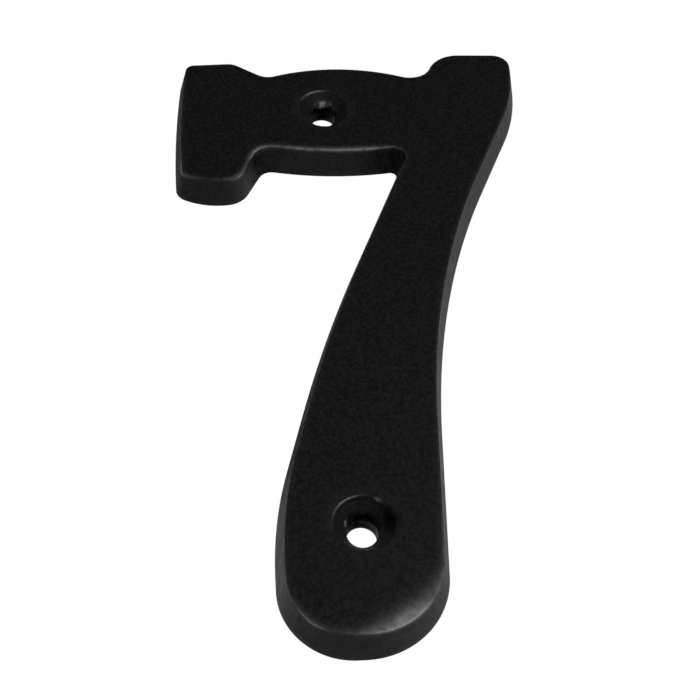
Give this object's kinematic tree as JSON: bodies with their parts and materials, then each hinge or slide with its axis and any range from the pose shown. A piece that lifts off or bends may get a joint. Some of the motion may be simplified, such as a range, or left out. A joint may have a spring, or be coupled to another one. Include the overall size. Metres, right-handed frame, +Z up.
{
  "type": "door number",
  "caption": "Cast numeral seven for a door or wall, black-finished brass with drafted sides, softened front edges and countersunk screw holes at its head and foot.",
  "frame": {"origin": "on the flat back, midway between the centres of the two screw holes", "axes": "+Z up the numeral's height, +X to the reader's right, and the face looks along -Y"},
  "size_m": [0.0541, 0.0044, 0.102],
  "materials": {
    "black_finish": "satin black coat over cast brass, worn thin and glossier along the front edge"
  },
  "bodies": {
    "root": {"numeral_seven": "black_finish"}
  },
  "joints": []
}
